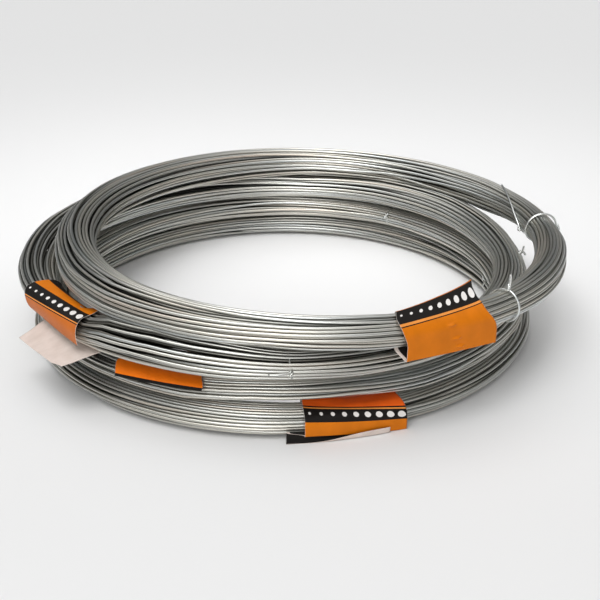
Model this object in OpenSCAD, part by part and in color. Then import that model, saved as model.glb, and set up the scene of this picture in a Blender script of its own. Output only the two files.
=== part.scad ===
// Stack of four tied hanks of galvanised wire, nested into one ring.
// Millimetres. The axis of the bottom hank is the origin, the floor is z = 0.

/* [Wire] */
// Diameter of the coiled wire
wire_d = 2.6; // [2:0.1:3.4]
// Diameter of the tie wire
tie_d = 1.6; // [1.2:0.1:2]
// Diameter of the drum that the hanks were wound on
drum_d = 365; // [320:1:420]

/* [Bottom hank] */
// Breadth of the bundle
bottom_w = 30; // [27:0.5:34]
// Height of the bundle
bottom_h = 20; // [18:0.5:24]
// How much wider than the drum its turns have sprung
bottom_spring = 9; // [0:0.5:14]
// Breadth of the flat that the lowest turns rest on
bottom_foot_w = 10; // [8:0.5:12]

/* [Lower hank] */
// Breadth of the bundle
lower_w = 29; // [26:0.5:33]
// Height of the bundle
lower_h = 18.5; // [16.5:0.5:23]
// How much wider than the drum its turns have sprung
lower_spring = 0; // [0:0.5:12]
// Shift to the back of the bottom hank
lower_shift_y = -3; // [-6:0.5:4]

/* [Upper hank] */
// Breadth of the bundle
upper_w = 29; // [26:0.5:33]
// Height of the bundle
upper_h = 20.5; // [18.5:0.5:25]
// How much wider than the drum its turns have sprung
upper_spring = 11; // [4:0.5:14]
// Shift to the right of the bottom hank
upper_shift_x = -6; // [-10:0.5:-2]
// Shift to the back of the bottom hank
upper_shift_y = -6.5; // [-9:0.5:2]
// Lean, the right side lower
upper_lean_angle = 0.7; // [0:0.1:1]
// Tip, the front higher
upper_tip_angle = 0.5; // [0:0.1:0.8]

/* [Top hank] */
// Breadth of the bundle
top_w = 26; // [23:0.5:29]
// Height of the bundle
top_h = 24.5; // [22:0.5:28]
// How much wider than the drum its turns have sprung
top_spring = 11; // [4:0.5:14]
// Shift to the right of the bottom hank
top_shift_x = 28; // [24:0.5:32]
// Shift to the back of the bottom hank
top_shift_y = -6.5; // [-9:0.5:2]
// Lean, the right side lower
top_lean_angle = 1.7; // [0:0.1:2.2]
// Tip, the front higher
top_tip_angle = 0.4; // [0:0.1:0.5]

/* [Labels] */
// Length of a label along the wire
label_len = 72; // [56:1:84]
// Thickness of the paper
label_t = 0.4; // [0.3:0.1:0.6]
// Length of the loose end of the upper hank's label
flap_len = 38; // [30:1:42]
// How far the loose end bends down
flap_bend_angle = 40; // [20:1:55]
// Length of the end of the bottom hank's label that lies on the floor
bottom_flap_len = 11; // [8:1:14]
// How far the top hank's label hangs below the bundle
top_label_hang = 8; // [5:0.5:9]
// How far the lower hank's label stands off the bundle
lower_label_bulge = 4; // [2:0.5:5]

/* [Ties] */
// Length of the ends of a tie
tie_tail = 10; // [6:1:14]

/* [Hidden] */
tie_clear = 0.3;
label_clear = 0.4;
// Room for a tie between two hanks
hank_gap = tie_d + 2 * tie_clear;
tie_sides = 8;
label_steps = 44;
flap_steps = 10;
// Drop of the fold at the foot of the bottom hank's label, for each millimetre of paper in it
fold_drop = 0.738;
floor_clear = 0.3;
// Radius of the curl at the lower edge of the top hank's label
curl_r = 4;
galvanised = [0.68, 0.7, 0.69];
orange = [0.89, 0.53, 0.13];

// Each hank: ring diameter, breadth, height, shift right, shift back, lean, tip
bottom = [drum_d + bottom_w + bottom_spring, bottom_w, bottom_h, 0, 0, 0, 0];
lower = [drum_d + lower_w + lower_spring, lower_w, lower_h, 0, lower_shift_y, 0, 0];
upper = [drum_d + upper_w + upper_spring, upper_w, upper_h, upper_shift_x, upper_shift_y,
    upper_lean_angle, upper_tip_angle];
top = [drum_d + top_w + top_spring, top_w, top_h, top_shift_x, top_shift_y,
    top_lean_angle, top_tip_angle];

// Height that keeps two bundles apart at a sideways distance s
function rise(s, w, h) = abs(s) >= w ? -1000 : h * sqrt(1 - pow(s / w, 2));

// How far a hank's plane falls from its middle to a point beside it
function fall(size, x, y) = x * tan(size[5]) + y * tan(size[6]);

// Height of the middle of a hank that lies on another one
function seat(over, under, under_z) = max([for (t = [0:4:356])
    let (
        x = over[0] / 2 * cos(t),
        y = over[0] / 2 * sin(t),
        px = over[3] + x - under[3],
        py = over[4] + y - under[4],
        s = norm([px, py]) - under[0] / 2,
        apart = rise(s, (over[1] + under[1]) / 2 + hank_gap, (over[2] + under[2]) / 2 + hank_gap)
    )
    under_z - fall(under, px, py) + apart + fall(over, x, y)]);

bottom_z = bottom_h / 2;
lower_z = seat(lower, bottom, bottom_z);
upper_z = max(seat(upper, bottom, bottom_z), seat(upper, lower, lower_z));
top_z = max(seat(top, bottom, bottom_z), seat(top, lower, lower_z), seat(top, upper, upper_z));

// Angles of the ties round each hank, from the right towards the back
top_tie_angles = [-46, 6, 21];
upper_tie_angles = [-86, 0];
lower_tie_angles = [56, 175];
bottom_tie_angles = [11, 160];

// Angle of the middle of each label
top_label_angle = -63;
upper_label_angle = -144.5;
lower_label_angle = -116;
bottom_label_angle = -75;

// Put a piece in the place of a hank
module at_hank(hank, z) {
    translate([hank[3], hank[4], z]) rotate([-hank[6], hank[5], 0]) children();
}

// Cut through a bundle: a core with one turn beside the other round it
module bundle(w, h) {
    a = (w - wire_d) / 2;
    b = (h - wire_d) / 2;
    turns = ceil(PI * (a + b) / wire_d);
    even = 90 / PI * (a * a - b * b) / (a * a + b * b) / 2;
    round_at = [for (i = [0:turns - 1]) let (t = 360 * i / turns + 90) t + even * sin(2 * t)];
    polygon([for (t = round_at) [a * cos(t), b * sin(t)]]);
    for (t = round_at) translate([a * cos(t), b * sin(t)]) circle(d = wire_d, $fn = 32);
}

module hank(size) {
    rotate_extrude($fn = 180) translate([size[0] / 2, 0]) bundle(size[1], size[2]);
}

module hank_bottom() {
    groove_w = 2.6 * tie_d;
    groove_h = tie_d + 2 * tie_clear;
    color(galvanised) translate([0, 0, bottom_z]) difference() {
        union() {
            hank(bottom);
            rotate_extrude($fn = 180) translate([(bottom[0] - bottom_foot_w) / 2, -bottom_h / 2])
                square([bottom_foot_w, bottom_h / 2]);
        }
        for (t = bottom_tie_angles) rotate([0, 0, t])
            translate([(bottom[0] - bottom_w) / 2 - 1, -groove_w / 2, -bottom_h / 2 - 1])
                cube([bottom_w + 2, groove_w, groove_h + 1]);
    }
}

module hank_lower() {
    color(galvanised) at_hank(lower, lower_z) hank(lower);
}

module hank_upper() {
    color(galvanised) at_hank(upper, upper_z) hank(upper);
}

module hank_top() {
    color(galvanised) at_hank(top, top_z) hank(top);
}

// Middle line of a label round a bundle, from one angle to another, standing off outside by a bulge
function wrap(size, bulge, from, to) = [for (i = [0:label_steps])
    let (
        t = from + (to - from) * i / label_steps,
        a = (size[1] + label_t) / 2 + label_clear,
        b = (size[2] + label_t) / 2 + label_clear
    )
    [(cos(t) > 0 ? bulge : 0) + a * cos(t), b * sin(t)]];

// Loose end of a label, leaving at a heading and bending all the way
function flap(start, heading, len, bend) = [
    for (i = 1, p = start; i <= flap_steps + 1;
        p = p + len / flap_steps * [cos(heading + bend * i / flap_steps), sin(heading + bend * i / flap_steps)],
        i = i + 1)
    if (i > 1) p];

// Paper of one thickness along a line
module ribbon(line) {
    last = len(line) - 1;
    side = [for (i = [0:last])
        let (d = line[min(i + 1, last)] - line[max(i - 1, 0)])
        [-d[1], d[0]] / norm(d) * label_t / 2];
    polygon(concat(
        [for (i = [0:last]) line[i] + side[i]],
        [for (i = [last:-1:0]) line[i] - side[i]]));
}

module label(size, at, line) {
    span = label_len / (PI * size[0]) * 360;
    rotate([0, 0, at - span / 2]) rotate_extrude(angle = span, $fn = 180)
        translate([size[0] / 2, 0]) ribbon(line);
}

module label_bottom() {
    line = wrap(bottom, 0, 240, -45);
    drop = bottom_z + line[label_steps][1] - label_t - floor_clear;
    fold = flap(line[label_steps], -150, drop / fold_drop, 140);
    color(orange) at_hank(bottom, bottom_z)
        label(bottom, bottom_label_angle,
            concat(line, fold, flap(fold[flap_steps - 1], -4, bottom_flap_len, 24)));
}

module label_lower() {
    color(orange) at_hank(lower, lower_z)
        label(lower, lower_label_angle, wrap(lower, lower_label_bulge, -80, 262));
}

module label_upper() {
    line = wrap(upper, 0, -35, 270);
    color(orange) at_hank(upper, upper_z)
        label(upper, upper_label_angle, concat(line, flap(line[label_steps], 0, flap_len, -flap_bend_angle)));
}

module label_top() {
    line = wrap(top, 0, 235, 0);
    low = line[label_steps] - [0, top_h / 2 + top_label_hang - curl_r];
    color(orange) at_hank(top, top_z)
        label(top, top_label_angle, concat(line, [low], flap(low, -90, curl_r * PI * 130 / 180, -130)));
}

// Middle line of a tie: an end, once round the bundle, the other end
function tie_line(size, floor_v, from) =
    let (
        a = (size[1] + tie_d) / 2 + tie_clear,
        b = (size[2] + tie_d) / 2 + tie_clear,
        step = tie_d * 0.65,
        out = [cos(from), sin(from)],
        foot = [a * cos(from), b * sin(from)],
        near = foot + out * tie_d * 0.7,
        far = foot + out * tie_tail,
        turn = [for (i = [1:27])
            let (t = from + 360 * i / 28)
            [a * cos(t), max(b * sin(t), floor_v), step * (i / 14 - 1)]]
    )
    concat(
        [[far[0], far[1], -step], [near[0], near[1], -step]],
        turn,
        [[near[0], near[1], step], [far[0], far[1], step]]);

// Round wire along a line
module wire(line, d) {
    last = len(line) - 1;
    rings = [for (i = [0:last])
        let (
            go = line[min(i + 1, last)] - line[max(i - 1, 0)],
            t = go / norm(go),
            c = cross(t, [0, 0, 1]),
            n = c / norm(c),
            m = cross(t, n)
        )
        for (j = [0:tie_sides - 1])
            let (q = 360 * j / tie_sides)
            line[i] + d / 2 * (cos(q) * n + sin(q) * m)];
    sides = [for (i = [0:last - 1]) for (j = [0:tie_sides - 1])
        let (k = (j + 1) % tie_sides, p = i * tie_sides, q = p + tie_sides)
        for (f = [[p + j, q + k, p + k], [p + j, q + j, q + k]]) f];
    cap_a = [for (j = [0:tie_sides - 1]) j];
    cap_b = [for (j = [tie_sides - 1:-1:0]) last * tie_sides + j];
    polyhedron(points = [for (p = rings) [p[0], p[2], p[1]]], faces = concat(sides, [cap_a, cap_b]));
}

// A tie round a hank; its ends leave the bundle at an angle up from its outer side
module tie(size, z, at, ends_at, floor_v = -1000) {
    color(galvanised) at_hank(size, z) rotate([0, 0, at]) translate([size[0] / 2, 0, 0])
        wire(tie_line(size, floor_v, ends_at), tie_d);
}

module tie_top_front() {
    tie(top, top_z, top_tie_angles[0], 80);
}

module tie_top_right() {
    tie(top, top_z, top_tie_angles[1], 110);
}

module tie_top_back() {
    tie(top, top_z, top_tie_angles[2], 120);
}

module tie_upper_front() {
    tie(upper, upper_z, upper_tie_angles[0], -20);
}

module tie_upper_right() {
    tie(upper, upper_z, upper_tie_angles[1], 65);
}

module tie_lower_back() {
    tie(lower, lower_z, lower_tie_angles[0], 170);
}

module tie_lower_left() {
    tie(lower, lower_z, lower_tie_angles[1], -10);
}

module tie_bottom_right() {
    tie(bottom, bottom_z, bottom_tie_angles[0], 160, tie_d / 2 + tie_clear - bottom_z);
}

module tie_bottom_left() {
    tie(bottom, bottom_z, bottom_tie_angles[1], 20, tie_d / 2 + tie_clear - bottom_z);
}

hank_bottom();
hank_lower();
hank_upper();
hank_top();
label_bottom();
label_lower();
label_upper();
label_top();
tie_top_front();
tie_top_right();
tie_top_back();
tie_upper_front();
tie_upper_right();
tie_lower_back();
tie_lower_left();
tie_bottom_right();
tie_bottom_left();
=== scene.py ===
"""Looks of a stack of four tied hanks of galvanised wire, each with a paper label."""

import math

import bpy
import numpy as np
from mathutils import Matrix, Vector


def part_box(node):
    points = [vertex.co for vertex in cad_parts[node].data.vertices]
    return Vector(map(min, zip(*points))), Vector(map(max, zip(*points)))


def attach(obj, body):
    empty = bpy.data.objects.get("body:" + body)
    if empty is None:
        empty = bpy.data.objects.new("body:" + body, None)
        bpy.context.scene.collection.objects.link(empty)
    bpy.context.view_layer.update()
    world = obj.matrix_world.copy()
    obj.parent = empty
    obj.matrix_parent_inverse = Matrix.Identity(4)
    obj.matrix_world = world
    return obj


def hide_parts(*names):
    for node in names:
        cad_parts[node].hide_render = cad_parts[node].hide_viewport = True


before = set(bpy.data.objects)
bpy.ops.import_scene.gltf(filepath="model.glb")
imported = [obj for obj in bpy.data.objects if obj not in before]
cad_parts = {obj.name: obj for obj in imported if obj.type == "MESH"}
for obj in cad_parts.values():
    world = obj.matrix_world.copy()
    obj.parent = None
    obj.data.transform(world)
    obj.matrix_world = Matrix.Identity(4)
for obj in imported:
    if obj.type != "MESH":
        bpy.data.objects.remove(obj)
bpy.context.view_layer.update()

MM = 0.001

# Sizes in millimetres. The wire is drawn a little thinner than its place, so that gaps between turns show
WIRE_D = 2.6
WIRE_SHOWN_D = 2.44
TIE_D = 1.7
LABEL_LEN = 72
PAPER_T = 0.35
PAPER_CLEAR = 0.6
FAR_BELOW = -1000.0

# Points of wire in a turn, and sides of its section
STATIONS = 120
WIRE_SIDES = 10
TIE_SIDES = 10

# Ring radius, breadth and height of the bundle in millimetres, lean to the right and tip to the back
# in degrees; then where the wire ends: its angle round the ring and its place in the bundle
HANKS = {
    "hank_bottom": dict(
        ring_r=202, w=30, h=20, lean=0, tip=0,
        turns=58, seed=11, end_angle=150, end_at=(0, -4)),
    "hank_lower": dict(
        ring_r=197, w=29, h=18.5, lean=0, tip=0,
        turns=52, seed=23, end_angle=40, end_at=(0, 0)),
    "hank_upper": dict(
        ring_r=202.5, w=29, h=20.5, lean=0.7, tip=0.5,
        turns=58, seed=37, end_angle=-123, end_at=(-7, 7.6)),
    "hank_top": dict(
        ring_r=201, w=26, h=24.5, lean=1.7, tip=0.4,
        turns=61, seed=41, end_angle=-129.5, end_at=(-13, 1)),
}

# Where labels and ties are, by their angle round the ring in degrees from the right, the front at -90
LABEL_ANGLES = {"hank_bottom": -75, "hank_lower": -116, "hank_upper": -144.5, "hank_top": -63}
TIES = {
    "tie_bottom_right": ("hank_bottom", 11),
    "tie_bottom_left": ("hank_bottom", 160),
    "tie_lower_back": ("hank_lower", 56),
    "tie_lower_left": ("hank_lower", 175),
    "tie_upper_front": ("hank_upper", -86),
    "tie_upper_right": ("hank_upper", 0),
    "tie_top_front": ("hank_top", -46),
    "tie_top_right": ("hank_top", 6),
    "tie_top_back": ("hank_top", 21),
}

# Where a bundle has spread: angle round the ring, then millimetres outwards, towards the bore, up and down
SPREAD = {
    "hank_bottom": [(0, 0, 0, 0, 0)],
    "hank_lower": [
        (-110, 0, 0, 0, 0), (-95, -2, 4, 0, -5), (-75, -2, 4, 0, -5), (-60, 0, 0, 0, 0),
        (80, 0, 0, 0, 0), (100, 0, 1, 1, 0), (140, 0, 2, 2, 0), (180, 0, 0, 0, 0),
    ],
    "hank_upper": [
        (-157, -1, 1, 0, 0), (-144, -3, 2, 0, 0), (-132, -1, 1, 0, 0), (-126, 0, 5, 6, 0),
        (-114, 0, 6, 8, 0), (-100, 0, 4, 5, 0), (-86, 0, 1, 1, 0), (-60, 0, 0, 0, 0),
        (10, 0, 0, 0, 0), (35, 5, 0, 4, 0), (60, 5, 0, 4, 1), (82, 2, 2, 2, 2),
        (110, 1, 6, 6, 4), (135, 4, 10, 9, 4), (165, 6, 8, 6, 2), (190, 2, 3, 1, 0),
    ],
    "hank_top": [
        (-165, 6, 1, 0, 6), (-150, 9, 1, 0, 9), (-135, 9, 0, 0, 10), (-118, 5, 0, 0, 7),
        (-100, 1, 0, 0, 2), (-85, 0, 0, 0, 0), (16, 0, 0, 0, 0), (32, 0, 1, 0, 4),
        (45, 0, 2, 0, 6), (65, 0, 2, 0, 6), (90, 0, 1, 0, 3), (120, 2, 1, 0, 6),
        (150, 3, 2, 0, 6), (180, 5, 2, 0, 5),
    ],
}


def centre_of(node):
    low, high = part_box(node)
    return (np.array(low) + np.array(high)) / 2 / MM


for name, hank in HANKS.items():
    hank["name"] = name
    hank["centre"] = centre_of(name)


def turned(a, b, angle):
    """Two coordinates after a turn in their plane by an angle in degrees."""
    c = math.cos(math.radians(angle))
    s = math.sin(math.radians(angle))
    return a * c + b * s, b * c - a * s


def place(hank, points):
    """From a hank's own frame in millimetres to the part's frame in metres."""
    x, y, z = points[..., 0], points[..., 1], points[..., 2]
    y, z = turned(y, z, hank["tip"])
    x, z = turned(x, z, hank["lean"])
    return (np.stack([x, y, z], -1) + hank["centre"]) * MM


def ring_point(hank, angle, u, v):
    """A point at an angle in degrees round the ring, u outwards and v up from the bundle's middle."""
    a = np.radians(angle)
    r = hank["ring_r"] + u
    return np.stack([r * np.cos(a), r * np.sin(a), v + 0 * r], -1)


def lowest(hank):
    """Height of the floor in a hank's own frame, or far below for a hank that lies on others."""
    return -hank["centre"][2] if hank["name"] == "hank_bottom" else FAR_BELOW


def ease(x):
    """A smooth step from 0 to 1."""
    x = np.clip(x, 0, 1)
    return x * x * (3 - 2 * x)


def hump(x, width):
    """A smooth hill of height 1 round zero."""
    return np.exp(-((x / width) ** 2))


def away(angle, other):
    """Distance between two angles in degrees."""
    return np.abs((np.asarray(angle) - other + 180) % 360 - 180)


def near(angle, other, reach, fade):
    """1 close to another angle and 0 from reach degrees on, over a fade in degrees."""
    return ease((reach - away(angle, other)) / fade)


# Meshes

def unit(v):
    return v / np.maximum(np.linalg.norm(v, axis=-1, keepdims=True), 1e-12)


def tube(points, radius, sides, up):
    """Vertices, faces and face-corner UVs of a round wire along points, closed at both ends."""
    n = len(points)
    go = unit(np.gradient(points, axis=0))
    side = unit(np.cross(go, up))
    top = np.cross(side, go)
    q = np.arange(sides) * 2 * math.pi / sides
    ring = np.cos(q)[None, :, None] * side[:, None] + np.sin(q)[None, :, None] * top[:, None]
    verts = (points[:, None] + radius * ring).reshape(-1, 3)
    i, j = np.meshgrid(np.arange(n - 1), np.arange(sides), indexing="ij")
    k = (j + 1) % sides
    quads = np.stack([i * sides + j, i * sides + k, (i + 1) * sides + k, (i + 1) * sides + j], -1)
    along = np.concatenate([[0], np.cumsum(np.linalg.norm(np.diff(points, axis=0), axis=1))])
    uv = np.stack([
        np.stack([along[i], along[i], along[i + 1], along[i + 1]], -1),
        np.stack([j, j + 1, j + 1, j], -1) / sides,
    ], -1)
    fan = np.array([(0, b, b + 1, b + 2) for b in range(1, sides - 2, 2)])
    ends = np.concatenate([fan[:, ::-1], fan + (n - 1) * sides])
    quads = np.concatenate([quads.reshape(-1, 4), ends])
    uv = np.concatenate([uv.reshape(-1, 2), np.zeros((ends.size, 2))])
    return verts, quads, uv


def mesh_object(name, verts, quads, uv):
    """A smooth piece of four-sided faces that rides on the part."""
    mesh = bpy.data.meshes.new(name)
    mesh.vertices.add(len(verts))
    mesh.vertices.foreach_set("co", np.asarray(verts, dtype=np.float32).ravel())
    mesh.loops.add(quads.size)
    mesh.loops.foreach_set("vertex_index", quads.astype(np.int32).ravel())
    mesh.polygons.add(len(quads))
    mesh.polygons.foreach_set("loop_start", np.arange(0, quads.size, 4, dtype=np.int32))
    mesh.polygons.foreach_set("use_smooth", np.ones(len(quads), dtype=bool))
    layer = mesh.uv_layers.new(name="UVMap")
    layer.data.foreach_set("uv", np.asarray(uv, dtype=np.float32).ravel())
    mesh.update(calc_edges=True)
    obj = bpy.data.objects.new(name, mesh)
    bpy.context.scene.collection.objects.link(obj)
    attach(obj, "root")
    return obj


# Winding

# Spacing of the wires at first, row height of close wires and how far the turns wander, in wires
PITCH = 1.03
ROW_RISE = 0.866
WANDER = 0.9

# How loose a bundle is, and how much a label and a tie draw it together
SLACK = 1.06
LABEL_GRIP = 0.05
TIE_GRIP = 0.1

ROUNDS = 240
AIM_SHARE = 0.5
SETTLE_ROUNDS = 40

# What a round does: straighten the wire, draw it to its first place, push it outwards, push turns off each
# other and off the hank below, and pull them back into the bundle
STRAIGHTEN = 0.35
STRAIGHTEN_SETTLING = 0.1
AIM_PULL = 0.01
OUTWARD_PUSH = 0.0013
TURN_PUSH = 0.38
BELOW_PUSH = 0.6
BUNDLE_PULL = 0.6

# What turns the push off the hank below upwards, and how far the wire's free end stands off, in millimetres
UPWARDS = np.array((0.0, 1.7), dtype=np.float32)
END_LIFT = 1.4


def packing(count, half_w, half_h, rng):
    """Close places for wires in an oval, those nearest its middle."""
    step = WIRE_D * PITCH
    row, col = np.meshgrid(np.arange(-12, 13), np.arange(-14, 15), indexing="ij")
    places = np.stack([(col + 0.5 * (row % 2)) * step, row * step * ROW_RISE], -1).reshape(-1, 2)
    places = places + rng.uniform(-0.4, 0.4, 2) * step
    far = np.hypot(places[:, 0] / half_w, places[:, 1] / half_h)
    return places[np.argsort(far)[:count]]


def route(places, last, rng):
    """The places in an order in which each lies near the one before it, from the middle to a last place."""
    left = list(range(len(places)))
    end = left.pop(int(np.hypot(*(places - last).T).argmin()))
    here = left.pop(int(np.hypot(*places[left].T).argmin()))
    order = [here]
    while left:
        far = np.hypot(*(places[left] - places[here]).T) + rng.uniform(0, 2, len(left))
        here = left.pop(int(far.argmin()))
        order.append(here)
    return places[order + [end]]


def slow_noise(n, span, rng):
    """Smooth random values with a new one every span points."""
    knots = rng.normal(0, 1, n // span + 4)
    x = np.arange(n) / span
    i = x.astype(int)
    f = ease(x - i)
    return knots[i] * (1 - f) + knots[i + 1] * f


def envelope(hank, angle):
    """Middle and half sizes of the bundle at angles round the ring: slack, but tight at ties and labels."""
    slack = np.full(len(angle), SLACK)
    slack -= LABEL_GRIP * near(angle, LABEL_ANGLES[hank["name"]], 18, 6)
    for hank_name, tie_angle in TIES.values():
        if hank_name == hank["name"]:
            slack -= TIE_GRIP * near(angle, tie_angle, 14, 12)
    at, out, inward, up, down = np.array(SPREAD[hank["name"]], dtype=float).T
    out, inward, up, down = (np.interp(angle, at, much, period=360) for much in (out, inward, up, down))
    middle = np.stack([out - inward, up - down], -1) / 2
    breadth = (hank["w"] - WIRE_D) * slack + out + inward
    height = (hank["h"] - WIRE_D) * slack + up + down
    return middle, np.stack([breadth, height], -1) / 2


def sections(hank, points, angles):
    """Where the turns of another hank, given in metres, pass a hank's cross-sections at angles."""
    x, y, z = (points / MM - hank["centre"]).T
    x, z = turned(x, z, -hank["lean"])
    y, z = turned(y, z, -hank["tip"])
    at = np.degrees(np.arctan2(y, x)).reshape(-1, STATIONS)
    u = (np.hypot(x, y) - hank["ring_r"]).reshape(-1, STATIONS)
    v = z.reshape(-1, STATIONS)
    rows = [[np.interp(angles, at[k], value[k], period=360) for value in (u, v)] for k in range(len(at))]
    return np.array(rows).transpose(0, 2, 1)


def overlaps(turns, others):
    """Ways from other turns to turns in every section, their lengths, and how much each pair overlaps."""
    apart = turns[:, None] - others[None]
    far = np.sqrt((apart ** 2).sum(-1)) + 1e-6
    return apart, far, np.clip(WIRE_D - far, 0, None)


def wind(hank, below):
    """Places of the wire in the bundle, turn after turn, relaxed until turns hardly run into each other.

    The turns also keep clear of the turns of the hank below, given in metres.
    Also how deep in the bundle each point of its skin lies, from 0 at the outside to 1 in the middle.
    """
    rng = np.random.default_rng(hank["seed"])
    turns = hank["turns"]
    half = np.array([(hank["w"] - WIRE_D) / 2, (hank["h"] - WIRE_D) / 2])
    last = np.array(hank["end_at"])
    slots = route(packing(turns + 1, *half, rng), last, rng) / half
    n = turns * STATIONS
    t = np.arange(n) / STATIONS
    k = t.astype(int)
    f = ease(t - k)[:, None]
    path = slots[k] * (1 - f) + slots[k + 1] * f
    span = STATIONS // 3
    path = path + WANDER * WIRE_D / half * np.stack([slow_noise(n, span, rng), slow_noise(n, span, rng)], 1)
    path = path.astype(np.float32)
    angle = hank["end_angle"] + np.arange(STATIONS) * 360 / STATIONS
    middle, room = envelope(hank, angle)
    middle, room = middle.astype(np.float32), room.astype(np.float32)
    paper = 1.5 * PAPER_T * near(angle, LABEL_ANGLES[hank["name"]], 14, 4)
    floor = lowest(hank) + WIRE_D / 2 + paper
    aim = path.copy()
    same = np.arange(turns)
    under = None if below is None else sections(hank, below, angle).astype(np.float32)
    rounds = ROUNDS
    for step in range(rounds):
        settle = step >= rounds - SETTLE_ROUNDS
        for _ in range(1 if settle else 2):
            smooth = path.copy()
            much = STRAIGHTEN_SETTLING if settle else STRAIGHTEN
            smooth[1:-1] += much * (path[:-2] + path[2:] - 2 * path[1:-1])
            path = smooth
        if step < rounds * AIM_SHARE:
            path = path + AIM_PULL * (aim - path)
        if not settle:
            path = path + OUTWARD_PUSH * unit(path)
        grid = path.reshape(turns, STATIONS, 2) * room + middle
        apart, far, over = overlaps(grid, grid)
        over[same, same] = 0
        grid = grid + TURN_PUSH * (apart * (over / far)[..., None]).sum(1)
        if under is not None:
            apart, _, over = overlaps(grid, under)
            grid = grid + BELOW_PUSH * (unit(apart + UPWARDS) * over[..., None]).sum(1)
        grid[..., 1] = np.maximum(grid[..., 1], floor)
        path = (grid - middle) / room
        out = np.sqrt((path ** 2).sum(-1, keepdims=True))
        path = path - BUNDLE_PULL * np.where(out > 1, 1 - 1 / np.maximum(out, 1), 0) * path
        path = path.reshape(-1, 2)
    path = (path.reshape(turns, STATIONS, 2) * room + middle).reshape(-1, 2).astype(float)
    free = STATIONS // 8
    path[-free:] += END_LIFT * ease(np.arange(free) / free)[:, None] * unit(last.astype(float))
    path[:, 1] = np.maximum(path[:, 1], np.tile(floor, turns))
    q = np.arange(WIRE_SIDES) * 2 * math.pi / WIRE_SIDES
    skin = path[:, None] + WIRE_D / 2 * np.stack([np.cos(q), np.sin(q)], -1)
    skin = (skin - np.tile(middle, (turns, 1))[:, None]) / (np.tile(room, (turns, 1))[:, None] + WIRE_D / 2)
    return path, np.clip(1 - np.sqrt((skin ** 2).sum(-1)), 0, 1)


# Materials

# Depth of fine bumps in metres
FINE = 0.0001

# Tints of the zinc coat, cool to warm; painted shade for turns deep in a bundle, and the depths where it
# starts and ends
ZINC_TINTS = [(0.35, (0.95, 0.98, 1.0)), (0.58, (1.0, 0.96, 0.89)), (0.72, (1.0, 0.88, 0.79))]
# The painted shade stands in for the shadow between turns; the zinc itself is no darker there
PAINTED_SHADE_TINT = (0.18, 0.18, 0.17)
PAINTED_SHADE_FROM = 0.05
PAINTED_SHADE_TO = 0.25

# Print colours. The light ones are painted light: lighter copies of the print on the labels in the shade of
# the hank above
ORANGE = (0.7, 0.188, 0.006)
# Partly print and partly painted light: drawn paler and more orange, taking in light thrown up from the white
# flap
RED_ORANGE_WITH_BOUNCE = (0.54, 0.147, 0.026)
PAINTED_LIGHT_RED = (0.98, 0.145, 0.014)
PAINTED_LIGHT_ORANGE = (1.0, 0.21, 0.008)
BLACK = (0.012, 0.010, 0.009)
RULE = (0.83, 0.3, 0.06)
WHITE = (0.84, 0.81, 0.78)

# Millimetres of strip in one unit of its UV, and the row of dots: how many and their radius in cells
UV_SPAN = 100
DOTS = 9
DOT_SMALL = 0.12
DOT_LARGE = 0.36


def new_material(name):
    mat = bpy.data.materials.new(name)
    mat.use_nodes = True
    nodes = mat.node_tree.nodes
    return mat, nodes, mat.node_tree.links, nodes["Principled BSDF"]


def uv_node(nodes):
    node = nodes.new("ShaderNodeUVMap")
    node.uv_map = "UVMap"
    return node.outputs["UV"]


def noise_node(nodes, links, vector, stretch, scale, detail=4.0):
    mapping = nodes.new("ShaderNodeMapping")
    mapping.inputs["Scale"].default_value = stretch
    noise = nodes.new("ShaderNodeTexNoise")
    noise.inputs["Scale"].default_value = scale
    noise.inputs["Detail"].default_value = detail
    links.new(vector, mapping.inputs["Vector"])
    links.new(mapping.outputs["Vector"], noise.inputs["Vector"])
    return noise.outputs["Fac"]


def ramp_node(nodes, links, value, stops, sharp=False):
    ramp = nodes.new("ShaderNodeValToRGB")
    if sharp:
        ramp.color_ramp.interpolation = "CONSTANT"
    elements = ramp.color_ramp.elements
    while len(elements) < len(stops):
        elements.new(0.5)
    for element, (position, colour) in zip(elements, stops):
        element.position = position
        element.color = (*colour, 1)
    links.new(value, ramp.inputs["Fac"])
    return ramp.outputs["Color"]


def range_node(nodes, links, value, low, high, from_low=0.0, from_high=1.0):
    node = nodes.new("ShaderNodeMapRange")
    node.inputs["From Min"].default_value = from_low
    node.inputs["From Max"].default_value = from_high
    node.inputs["To Min"].default_value = low
    node.inputs["To Max"].default_value = high
    links.new(value, node.inputs["Value"])
    return node.outputs["Result"]


def math_node(nodes, links, operation, a, b=0.0):
    node = nodes.new("ShaderNodeMath")
    node.operation = operation
    for socket, value in zip(node.inputs, (a, b)):
        if isinstance(value, (int, float)):
            socket.default_value = value
        else:
            links.new(value, socket)
    return node.outputs["Value"]


def mix_node(nodes, links, factor, a, b, blend="MIX"):
    node = nodes.new("ShaderNodeMix")
    node.data_type = "RGBA"
    node.blend_type = blend
    sockets = {socket.identifier: socket for socket in node.inputs}
    for key, value in (("Factor_Float", factor), ("A_Color", a), ("B_Color", b)):
        if isinstance(value, (int, float)):
            sockets[key].default_value = value
        elif isinstance(value, tuple):
            sockets[key].default_value = (*value, 1)
        else:
            links.new(value, sockets[key])
    return next(socket for socket in node.outputs if socket.identifier == "Result_Color")


def bump_node(nodes, links, height, strength, distance, bsdf):
    bump = nodes.new("ShaderNodeBump")
    bump.inputs["Strength"].default_value = strength
    bump.inputs["Distance"].default_value = distance
    links.new(height, bump.inputs["Height"])
    links.new(bump.outputs["Normal"], bsdf.inputs["Normal"])


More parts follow.
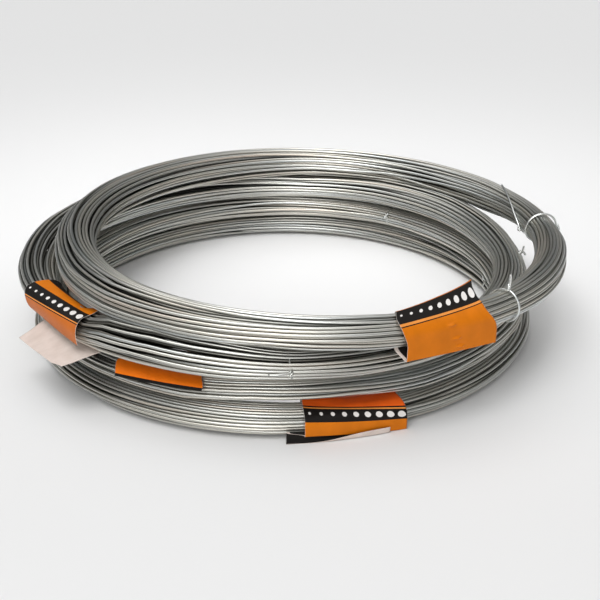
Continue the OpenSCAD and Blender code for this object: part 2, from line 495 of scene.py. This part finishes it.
def galvanised(name, dark, light, rough_low, rough_high):
    """Zinc coat: streaks along the wire, cloudy patches, a fine grain, and painted shade deep in a bundle."""
    mat, nodes, links, bsdf = new_material(name)
    uv = uv_node(nodes)
    streaks = noise_node(nodes, links, uv, (6.0, 3.0, 1.0), 3.0, 6.0)
    clouds = noise_node(nodes, links, uv, (2.2, 0.2, 1.0), 2.0, 3.0)
    tone = ramp_node(nodes, links, streaks, [(0.3, dark), (0.7, light)])
    tint = ramp_node(nodes, links, clouds, ZINC_TINTS)
    colour = mix_node(nodes, links, 1.0, tone, tint, "MULTIPLY")
    # Painted shade: turns deep in the bundle get a darker colour, standing in for the shadow between them
    depth = nodes.new("ShaderNodeAttribute")
    depth.attribute_name = "depth"
    painted_shade = range_node(nodes, links, depth.outputs["Fac"], 0.0, 1.0, PAINTED_SHADE_FROM, PAINTED_SHADE_TO)
    deep = mix_node(nodes, links, 1.0, colour, PAINTED_SHADE_TINT, "MULTIPLY")
    colour = mix_node(nodes, links, painted_shade, colour, deep)
    links.new(colour, bsdf.inputs["Base Color"])
    links.new(range_node(nodes, links, clouds, rough_low, rough_high, 0.3, 0.7), bsdf.inputs["Roughness"])
    grain = noise_node(nodes, links, uv, (900.0, 30.0, 1.0), 1.0, 3.0)
    bump_node(nodes, links, grain, 0.25, FINE, bsdf)
    bsdf.inputs["Metallic"].default_value = 1.0
    return mat


def printed(name, bands, dots=None):
    """Print in bands across the strip, worn pale at its ends; dots is the middle of a row of dots."""
    mat, nodes, links, bsdf = new_material(name)
    uv = uv_node(nodes)
    split = nodes.new("ShaderNodeSeparateXYZ")
    links.new(uv, split.inputs["Vector"])
    along, across = split.outputs["X"], split.outputs["Y"]
    colour = ramp_node(nodes, links, across, [(s / UV_SPAN, c) for s, c in bands], sharp=True)
    if dots is not None:
        cell = math_node(nodes, links, "MULTIPLY", along, DOTS)
        number = math_node(nodes, links, "FLOOR", cell)
        dx = math_node(nodes, links, "SUBTRACT", math_node(nodes, links, "FRACT", cell), 0.5)
        past = math_node(nodes, links, "SUBTRACT", across, dots / UV_SPAN)
        dy = math_node(nodes, links, "MULTIPLY", past, UV_SPAN * DOTS / LABEL_LEN)
        dx_square = math_node(nodes, links, "MULTIPLY", dx, dx)
        dy_square = math_node(nodes, links, "MULTIPLY", dy, dy)
        square = math_node(nodes, links, "ADD", dx_square, dy_square)
        radius = range_node(nodes, links, number, DOT_SMALL, DOT_LARGE, 0, DOTS - 1)
        disc = math_node(nodes, links, "LESS_THAN", math_node(nodes, links, "SQRT", square), radius)
        colour = mix_node(nodes, links, disc, colour, WHITE)
    wear = noise_node(nodes, links, uv, (30.0, 30.0, 1.0), 3.0, 5.0)
    edge = math_node(nodes, links, "ABSOLUTE", math_node(nodes, links, "SUBTRACT", along, 0.5))
    edge = math_node(nodes, links, "ADD", edge, math_node(nodes, links, "MULTIPLY", wear, 0.012))
    worn = range_node(nodes, links, edge, 0.0, 0.7, 0.502, 0.507)
    colour = mix_node(nodes, links, worn, colour, WHITE)
    clouds = noise_node(nodes, links, uv, (3.0, 3.0, 1.0), 2.0, 3.0)
    shade = ramp_node(nodes, links, clouds, [(0.3, (0.86, 0.86, 0.86)), (0.7, (1.0, 1.0, 1.0))])
    links.new(mix_node(nodes, links, 1.0, colour, shade, "MULTIPLY"), bsdf.inputs["Base Color"])
    links.new(range_node(nodes, links, wear, 0.34, 0.5, 0.3, 0.7), bsdf.inputs["Roughness"])
    bsdf.inputs["Specular IOR Level"].default_value = 0.12
    fibre = noise_node(nodes, links, uv, (220.0, 280.0, 1.0), 1.0, 4.0)
    bump_node(nodes, links, fibre, 0.12, FINE, bsdf)
    return mat


def bare_paper():
    """The unprinted inside of a label."""
    mat, nodes, links, bsdf = new_material("paper_inside")
    uv = uv_node(nodes)
    fibre = noise_node(nodes, links, uv, (160.0, 200.0, 1.0), 1.0, 6.0)
    blotch = noise_node(nodes, links, uv, (4.0, 4.0, 1.0), 2.0, 3.0)
    tone = ramp_node(nodes, links, blotch, [(0.3, (0.6, 0.505, 0.45)), (0.7, (0.7, 0.605, 0.55))])
    links.new(tone, bsdf.inputs["Base Color"])
    bsdf.inputs["Roughness"].default_value = 0.75
    bump_node(nodes, links, fibre, 0.2, FINE, bsdf)
    return mat


wire_mat = galvanised("galvanised_wire", (0.51, 0.515, 0.495), (0.73, 0.735, 0.715), 0.27, 0.43)
tie_mat = galvanised("galvanised_tie", (0.7, 0.71, 0.7), (0.88, 0.89, 0.88), 0.26, 0.38)
paper_mat = bare_paper()

# Hanks

below = None
for name, hank in HANKS.items():
    path, depth = wind(hank, below)
    angle = hank["end_angle"] + np.arange(len(path)) * 360 / STATIONS
    points = place(hank, ring_point(hank, angle, path[:, 0], path[:, 1]))
    below = points
    verts, quads, uv = tube(points, WIRE_SHOWN_D / 2 * MM, WIRE_SIDES, np.array((0.0, 0.0, 1.0)))
    piece = mesh_object("turns_of_" + name, verts, quads, uv)
    layer = piece.data.attributes.new("depth", "FLOAT", "POINT")
    layer.data.foreach_set("value", depth.ravel().astype(np.float32))
    piece.data.materials.append(wire_mat)
    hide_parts(name)


# Ties

# How loose a bundle is at a tie, and how far each twist of a tie reaches out in millimetres
TIE_SLACK = 0.96
TWIST_RISE = 2.6


def tie(node, ends_at, tips, loose=0.0, loose_at=90, twists=1.5, drift=0.0, lead=90, sunk=0.0,
        material=tie_mat):
    """A tie once round the bundle, its ends twisted together at an angle in the cross-section.

    Tips are the ways from the twist to the free ends: outwards, up and along the ring. A loose tie stands off
    the bundle at an angle. Drift is how far it runs along the ring, most at the angle lead. Sunk is how
    far it is drawn into the bundle.
    """
    hank_name, angle = TIES[node]
    hank = HANKS[hank_name]
    r = TIE_D / 2
    half_w = (hank["w"] - WIRE_D) / 2 * TIE_SLACK + WIRE_D / 2 + r - sunk
    half_h = (hank["h"] - WIRE_D) / 2 * TIE_SLACK + WIRE_D / 2 + r - sunk
    floor = lowest(hank) + r + 0.1

    def at(q):
        lift = 1 + loose * hump(away(np.degrees(q), loose_at), 60)
        slip = drift * np.cos(q - math.radians(lead))
        return half_w * np.cos(q) * lift, np.maximum(half_h * np.sin(q) * lift, floor), slip

    turn = np.linspace(0.04, 0.96, 57)
    u, v, s = at(np.radians(ends_at + 360 * turn))
    loop = np.stack([u, v, s + (turn - 0.5) * 2 * r], -1)
    q = math.radians(ends_at)
    foot = np.array([float(c) for c in at(q)])
    out = np.array([math.cos(q), math.sin(q), 0])
    across = np.array([-out[1], out[0], 0])
    step = np.linspace(0, 1, 8 + int(14 * twists))
    ends = []
    for sign, tip in zip((-1, 1), tips):
        wind_at = 2 * math.pi * twists * step
        helix = foot + (0.4 + step[:, None] * TWIST_RISE * twists) * out
        round_it = np.cos(wind_at)[:, None] * (0, 0, 1) + np.sin(wind_at)[:, None] * across
        helix = helix + r * sign * round_it
        bend = np.linspace(0, 1, 11)[1:, None]
        free = helix[-1] + bend * np.array(tip) + (bend - bend ** 2) * 0.3 * np.linalg.norm(tip) * out
        ends.append(np.concatenate([helix, free]))
    line = np.concatenate([ends[0][::-1], loop, ends[1]])
    for _ in range(2):
        line[1:-1] = (line[:-2] + 2 * line[1:-1] + line[2:]) / 4
    along_ring = angle + np.degrees(line[:, 2] / hank["ring_r"])
    points = place(hank, ring_point(hank, along_ring, line[:, 0], line[:, 1]))
    a = math.radians(angle)
    verts, quads, uv = tube(points, r * MM, TIE_SIDES, np.array((-math.sin(a), math.cos(a), 0.01)))
    piece = mesh_object("wire_of_" + node, verts, quads, uv)
    piece.data.materials.append(material)
    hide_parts(node)


tie("tie_top_front", 80, ((0.5, 9, -1), (-2, 1, 4)), loose=0.06, loose_at=40)
tie("tie_top_right", 10, ((1, -4, -2), (-2, -3, 2)), loose=0.12, loose_at=55, twists=0.5)
tie("tie_top_back", 206, ((0.5, -1, -4), (0.5, -2, 2)), drift=36, lead=40, twists=0.5)
tie("tie_upper_front", 8, ((1, -1, -14), (1.5, -2, -2)), twists=1, sunk=2.2, material=wire_mat)
tie("tie_upper_right", 40, ((1, 5, 1), (3, -3, -2)), twists=2, sunk=4, material=wire_mat)
tie("tie_lower_back", 160, ((-1, 4, 0), (-1, -2, 2)), twists=1, sunk=1.6, material=wire_mat)
tie("tie_lower_left", -10, ((4, -2, 3), (4, 1, -3)))
tie("tie_bottom_right", 145, ((-1, 3, 0), (-1, -2, -2)), twists=1, sunk=1.6, material=wire_mat)
tie("tie_bottom_left", 20, ((4, 2, 3), (4, 0, -3)))


# Labels

# Rows of points along the ring, their spacing round the bundle, how uneven the paper is and over what length,
# how far its ends curl up, the bare end of a printed inside, and a length past any strip's end
LABEL_ROWS = 56
LABEL_PITCH = 0.45
RIPPLE = 0.07
RIPPLE_SCALE = 7.0
END_CURL = 0.4
BARE_END = 2.5
PAST_END = 1000


def oval(hank, start, stop, bulge=0.0, square=2.5):
    """A label's line round a bundle between two angles, a little squarer than the bundle."""
    q = np.radians(np.linspace(start, stop, 120))
    c, s = np.cos(q), np.sin(q)
    a = hank["w"] / 2 + PAPER_CLEAR
    b = hank["h"] / 2 + PAPER_CLEAR
    u = a * np.sign(c) * np.abs(c) ** (2 / square) + bulge * (c > 0)
    v = b * np.sign(s) * np.abs(s) ** (2 / square)
    return np.stack([u, v], -1)


def length_of(line):
    """Length of a line of points."""
    return float(np.linalg.norm(np.diff(line, axis=0), axis=1).sum())


def run_on(line, heading, length, bend):
    """Lengthen a line by a stretch that starts at a heading in degrees and bends by an angle."""
    steps = 24
    turn = np.radians(heading + bend * np.arange(1, steps + 1) / steps)
    more = np.cumsum(np.stack([np.cos(turn), np.sin(turn)], -1) * length / steps, axis=0)
    return np.concatenate([line, line[-1] + more])


def ripple(x, y, seed, scale):
    """Smooth unevenness from a few waves."""
    rng = np.random.default_rng(seed)
    total = 0
    for _ in range(7):
        kx, ky, phase = rng.normal(0, 1 / scale), rng.normal(0, 1 / scale), rng.uniform(0, 6.3)
        total = total + np.sin(kx * x + ky * y + phase)
    return total / 7


def label(node, hank_name, line, side, material, warp, length=LABEL_LEN, straight=0.6, flat_from=0.2,
        inset=0.0, lined=(PAST_END, PAST_END)):
    """A paper strip along a line in the bundle's cross-section; side is +1 if print is left of the line.

    The warp gives for a place on the strip its shift along the ring, along the line, off the bundle and up.
    Straight is how much its outer side keeps straight instead of following the ring, from flat_from on, and
    inset draws that side in. Between the two ends of lined the inside is printed as the outside is.
    """
    hank = HANKS[hank_name]
    ring_r = hank["ring_r"]
    far = 10.0
    total = length_of(line)
    line = np.concatenate([
        [line[0] + far * unit(line[0] - line[1])], line, [line[-1] + far * unit(line[-1] - line[-2])]])
    reach = np.concatenate([[0], np.cumsum(np.linalg.norm(np.diff(line, axis=0), axis=1))]) - far
    go = unit(np.gradient(line, axis=0))
    a = np.linspace(-length / 2, length / 2, LABEL_ROWS)[:, None]
    s = np.linspace(0, total, int(total / LABEL_PITCH))[None]
    da, ds, lift, rise = warp(a, s)
    curl = END_CURL * (np.abs(a) / (length / 2)) ** 8
    lift = lift + RIPPLE * ripple(a, s, len(node), RIPPLE_SCALE) + curl
    shift = a + da + 0 * s
    at = s + ds + 0 * a

    def along_line(values):
        return np.interp(at, reach, values)

    out_u, out_v = -along_line(go[:, 1]) * side, along_line(go[:, 0]) * side

    def surface(offset):
        u = along_line(line[:, 0]) + out_u * (lift + offset)
        v = along_line(line[:, 1]) + out_v * (lift + offset) + rise
        v = np.maximum(v, lowest(hank) + 0.6 * PAPER_T + offset)
        beta = shift / ring_r
        flat = straight * ease((u / (hank["w"] / 2) + flat_from) / 1.1)
        radial = (ring_r + u) * (np.cos(beta) * (1 - flat) + flat) - inset * flat
        tangent = (ring_r + u) * np.sin(beta)
        q = math.radians(LABEL_ANGLES[hank_name])
        x = radial * math.cos(q) - tangent * math.sin(q)
        y = radial * math.sin(q) + tangent * math.cos(q)
        return place(hank, np.stack([x, y, v], -1))

    m, n = at.shape
    verts = np.concatenate([surface(PAPER_T / 2).reshape(-1, 3), surface(-PAPER_T / 2).reshape(-1, 3)])
    i, j = np.meshgrid(np.arange(m - 1), np.arange(n - 1), indexing="ij")
    front = np.stack([i * n + j, (i + 1) * n + j, (i + 1) * n + j + 1, i * n + j + 1], -1)
    front = front.reshape(-1, 4)
    if side < 0:
        front = front[:, ::-1]
    back = front[:, ::-1] + m * n
    rim = np.concatenate([
        np.arange(m) * n,
        (m - 1) * n + np.arange(1, n),
        np.arange(m - 2, -1, -1) * n + n - 1,
        np.arange(n - 2, 0, -1),
    ])
    after = np.roll(rim, -1)
    edge = np.stack([rim, rim + m * n, after + m * n, after], -1)
    if side < 0:
        edge = edge[:, ::-1]
    quads = np.concatenate([front, back, edge])
    along = np.repeat(a[:, 0] / length + 0.5, n)
    across = np.tile(s[0] / UV_SPAN, m)
    flat_uv = np.stack([np.tile(along, 2), np.tile(across, 2)], -1)
    piece = mesh_object("paper_of_" + node, verts, quads, flat_uv[quads.ravel()])
    piece.data.materials.append(material)
    piece.data.materials.append(paper_mat)
    index = np.ones(len(quads), dtype=np.int32)
    index[: len(front)] = 0
    inside = (s[:, :-1] > lined[0]) & (s[:, :-1] < lined[1]) & (a[:-1] > BARE_END - length / 2)
    index[len(front): 2 * len(front)][inside.ravel()] = 0
    piece.data.polygons.foreach_set("material_index", index)
    smooth = np.ones(len(quads), dtype=bool)
    smooth[len(front) * 2:] = False
    piece.data.polygons.foreach_set("use_smooth", smooth)
    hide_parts(node)


top = HANKS["hank_top"]
top_start = 235
top_crease = length_of(oval(top, top_start, 128, square=2.1))
top_black = length_of(oval(top, top_start, 119, square=2.1))
top_rule = length_of(oval(top, top_start, 66, square=2.1))
top_drop = top["h"] / 2 + 4
line = run_on(oval(top, top_start, 0, square=2.1), -90, top_drop, 0)
top_fold = length_of(line)
line = run_on(run_on(line, -90, 3, -140), 130, 11, 0)


def top_warp(a, s):
    """Put on crooked: its right end stands off the top, and ends of wire press three dents into it."""
    da = -6 * ease((60 - s) / 25) * ease((s - top_crease + 4) / 17) - 6 * ease((s - top_fold) / 12)
    da = da + 0.15 * np.maximum(a, 0) * ease((top_crease + 8 - s) / 8)
    da = da - 5 * ease((a - 8) / 28) * hump(s - top_rule - 9, 8)
    ds = -0.1 * a * ease((top_fold - s) / 25) * ease((s - top_crease + 4) / 10)
    lift = 13 * (a + 36) / 72 * hump(s - top_crease, 8)
    for at_a, at_s in ((0, 10), (2, 21), (5.5, 28)):
        lift = lift + 2 * hump(a - at_a, 2.4) * hump(s - top_rule - at_s, 1)
    return da, ds, lift, 0


top_bands = [
    (0, ORANGE),
    (top_black, BLACK),
    (top_rule, RULE),
    (top_rule + 1.6, BLACK),
    (top_rule + 2.4, ORANGE),
    (top_fold + 1, BLACK),
]
top_print = printed("print_top", top_bands, dots=(top_black + top_rule) / 2)
# The inside of the folded-back end is black like its outside, so the inside of the fold shows dark
label("label_top", "hank_top", line, 1, top_print, top_warp, lined=(top_fold + 1, PAST_END))

upper = HANKS["hank_upper"]
upper_start = -35
upper_black = length_of(oval(upper, upper_start, 36))
upper_orange = length_of(oval(upper, upper_start, 86))
upper_edge = length_of(oval(upper, upper_start, 118))
upper_inside = length_of(oval(upper, upper_start, 190))
line = oval(upper, upper_start, 270)
upper_flap = length_of(line)
line = run_on(line, -8, 32, -12)
upper_end = length_of(line)


def upper_warp(a, s):
    """A creased and lifted corner on top, its lower edge slid to the right, and a narrower loose end."""
    corner = 4 * ease((a - 22) / 18) * hump(s - upper_edge, 5)
    crease = -1.2 * hump(a - 24 - 0.6 * (s - upper_edge), 2.5) * hump(s - upper_edge, 6)
    flap = ease((s - upper_flap) / 24)
    slid = 19 * ease((s - upper_inside) / (upper_flap - upper_inside))
    edge = 10 * ease((upper_black + 8 - s) / (upper_black + 8))
    loose = np.clip((s - upper_flap) / (upper_end - upper_flap), 0, 1)
    da = slid + edge - loose * (0.23 * a + 4.5)
    ds = 0.1 * a * ease((upper_inside - s) / 20) - 3 * ease((a - 24) / 17) * ease((s - upper_end + 12) / 12)
    rise = -4 * flap * ease((30 - a) / 70)
    return da, ds, corner + crease + 0.4 * flap * np.sin(a / 16 + 0.8), rise


upper_bands = [
    # The lowest band's colour holds painted light from the white flap below it
    (0, RED_ORANGE_WITH_BOUNCE),
    (upper_black - 1.6, BLACK),
    (upper_black - 0.8, RULE),
    (upper_black, BLACK),
    (upper_orange, ORANGE),
    (upper_edge, BLACK),
]
upper_print = printed("print_upper", upper_bands, dots=(upper_black + upper_orange) / 2)
label("label_upper", "hank_upper", line, -1, upper_print, upper_warp, length=82, straight=0.9,
    flat_from=1.0, inset=3)

lower = HANKS["hank_lower"]
lower_start = 15
lower_orange = length_of(oval(lower, lower_start, 28, 0.5))


def lower_warp(a, s):
    """Slipped a little on the bundle."""
    return 4 - 5 * ease((s - lower_orange) / 12), 0.06 * a, 0, 0


line = oval(lower, lower_start, 262, 0.5)
# Painted light: this orange is lighter than the print, to offset the shade of the hank above
lower_print = printed("print_lower", [(0, BLACK), (lower_orange, PAINTED_LIGHT_ORANGE)])
label("label_lower", "hank_lower", line, -1, lower_print, lower_warp, length=69)

bottom = HANKS["hank_bottom"]
bottom_start = 240
bottom_bulge = 1.8
bottom_top = length_of(oval(bottom, bottom_start, 95, bottom_bulge))
bottom_black = length_of(oval(bottom, bottom_start, 69, bottom_bulge))
bottom_orange = length_of(oval(bottom, bottom_start, 13, bottom_bulge))
line = run_on(oval(bottom, bottom_start, -8, bottom_bulge), -90, 2, 0)
bottom_fold = length_of(line)
line = run_on(run_on(line, -90, 1.2, -180), 90, 4, 0)
line = run_on(line, 90, 1.2, 180)
bottom_under = length_of(line)
line = run_on(line, -90, 7.8, 0)
bottom_floor = length_of(line)
line = run_on(run_on(line, -90, 6, 180), 90, 3, 0)


def bottom_warp(a, s):
    """Twisted round the bundle; its loose end has slipped to the left and turns up at the right."""
    da = -13 * ease((s - bottom_fold - 0.6) / 4.5)
    ds = (0.17 * a - 0.5) * ease((bottom_fold - s) / 14)
    ds = ds - 0.75 * ease((28 - a) / 64) * np.maximum(s - bottom_floor, 0)
    lift = 4 * ease((10 - a) / 46) * hump(s - bottom_top, 9)
    rise = -(3 + a / 12) * ease((s - bottom_fold + 10) / 10) * ease((bottom_under + 8 - s) / 8)
    return da, ds, lift, rise


# Painted light: the red top band is lighter than the print, to offset the shade of the hank above
bottom_bands = [
    (0, PAINTED_LIGHT_RED),
    (bottom_black, BLACK),
    (bottom_black + 1, RULE),
    (bottom_black + 2.2, BLACK),
    (bottom_orange, ORANGE),
    (bottom_fold, BLACK),
]
bottom_print = printed("print_bottom", bottom_bands, dots=(bottom_black + 2.2 + bottom_orange) / 2)
label("label_bottom", "hank_bottom", line, 1, bottom_print, bottom_warp, lined=(bottom_fold, bottom_floor))


# Camera, light and floor

FOCUS = Vector((0.0153, -0.003, 0.013))
DISTANCE = 1.0
ELEVATION = math.radians(24.95)
LENS_PX = 1119
FRAME_PX = 600
SENSOR_MM = 36

# Brightness of the sky at the horizon and overhead, and how late it brightens
HORIZON = 0.09
OVERHEAD = 1.0
SKY_POWER = 2.5

FLOOR_HALF = 30
FLOOR_GREY = 0.81

camera_data = bpy.data.cameras.new("camera")
camera_data.sensor_width = SENSOR_MM
camera_data.lens = SENSOR_MM * LENS_PX / FRAME_PX
camera = bpy.data.objects.new("camera", camera_data)
camera.location = FOCUS + DISTANCE * Vector((0, -math.cos(ELEVATION), math.sin(ELEVATION)))
camera.rotation_euler = (math.pi / 2 - ELEVATION, 0, 0)
bpy.context.scene.collection.objects.link(camera)
bpy.context.scene.camera = camera


def softbox(name, at, size, watts, look_at=(0, 0, 0.04), spread=180):
    """A lit rectangle."""
    light = bpy.data.lights.new(name, "AREA")
    light.shape = "RECTANGLE"
    light.size, light.size_y = size
    light.energy = watts
    light.spread = math.radians(spread)
    obj = bpy.data.objects.new(name, light)
    obj.location = at
    obj.rotation_euler = (Vector(look_at) - Vector(at)).to_track_quat("-Z", "Y").to_euler()
    bpy.context.scene.collection.objects.link(obj)


def far_light(name, direction, strength, spread):
    """A soft light from far away, spread over an angle in degrees."""
    light = bpy.data.lights.new(name, "SUN")
    light.energy = strength
    light.angle = math.radians(spread)
    obj = bpy.data.objects.new(name, light)
    obj.rotation_euler = Vector(direction).to_track_quat("Z", "Y").to_euler()
    bpy.context.scene.collection.objects.link(obj)


softbox("light_front", (-0.5, -1.7, 0.9), (0.9, 0.6), 6)
softbox("light_over", (-0.05, -0.15, 0.9), (0.8, 0.5), 0.5, look_at=(0, 0.28, 0.05), spread=50)
far_light("light_key", (-0.26, -0.31, 0.915), 1.06, 36)
far_light("light_left", (-0.5, 0.25, 0.83), 0.4, 36)
far_light("light_low", (-0.06, -1.0, 0.22), 0.6, 24)

world = bpy.data.worlds.new("studio")
world.use_nodes = True
nodes, links = world.node_tree.nodes, world.node_tree.links
direction = nodes.new("ShaderNodeSeparateXYZ")
links.new(nodes.new("ShaderNodeTexCoord").outputs["Generated"], direction.inputs["Vector"])
height = math_node(nodes, links, "MAXIMUM", direction.outputs["Z"])
height = math_node(nodes, links, "POWER", height, SKY_POWER)
sky = range_node(nodes, links, height, HORIZON, OVERHEAD)
links.new(sky, nodes["Background"].inputs["Strength"])
nodes["Background"].inputs["Color"].default_value = (1, 1, 1, 1)
bpy.context.scene.world = world

floor_mesh = bpy.data.meshes.new("floor")
corners = [(x * FLOOR_HALF, y * FLOOR_HALF, 0) for x, y in ((-1, -1), (1, -1), (1, 1), (-1, 1))]
floor_mesh.from_pydata(corners, [], [(0, 1, 2, 3)])
floor = bpy.data.objects.new("floor", floor_mesh)
bpy.context.scene.collection.objects.link(floor)
floor_mat, nodes, links, bsdf = new_material("floor")
bsdf.inputs["Base Color"].default_value = (FLOOR_GREY, FLOOR_GREY, FLOOR_GREY, 1)
bsdf.inputs["Roughness"].default_value = 0.9
floor_mesh.materials.append(floor_mat)

bpy.context.scene.view_settings.view_transform = "Standard"
